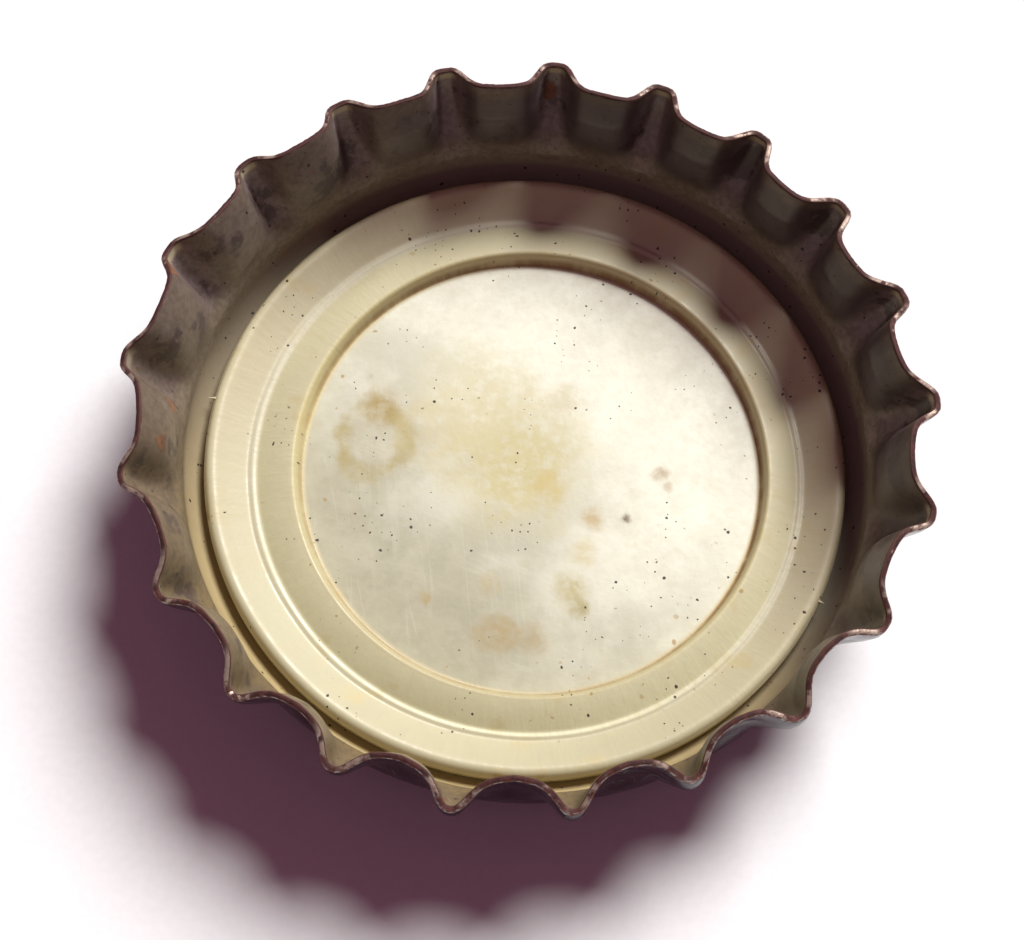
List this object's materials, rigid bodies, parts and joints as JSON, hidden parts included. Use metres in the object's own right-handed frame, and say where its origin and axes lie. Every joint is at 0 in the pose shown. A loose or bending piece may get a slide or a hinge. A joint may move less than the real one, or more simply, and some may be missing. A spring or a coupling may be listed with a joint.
{
  "type": "crown bottle cap",
  "caption": "Used crown bottle cap lying upside down: fluted tinplate shell with a moulded sealing liner, slightly bent by the opener.",
  "frame": {"origin": "middle of the panel's outer face, on the surface that the upturned cap rests on", "axes": "+Z along the cap's axis, out of its open mouth; +X to the right of a viewer who stands on the -Y side"},
  "size_m": [0.0308, 0.0305, 0.0062],
  "materials": {
    "lacquered_tinplate": "gold lacquer inside, dark gloss paint outside, rusty cut edge",
    "liner_plastic": "translucent cream moulded plastic, stained"
  },
  "bodies": {
    "root": {"crown_shell": "lacquered_tinplate", "liner": "liner_plastic"}
  },
  "joints": []
}
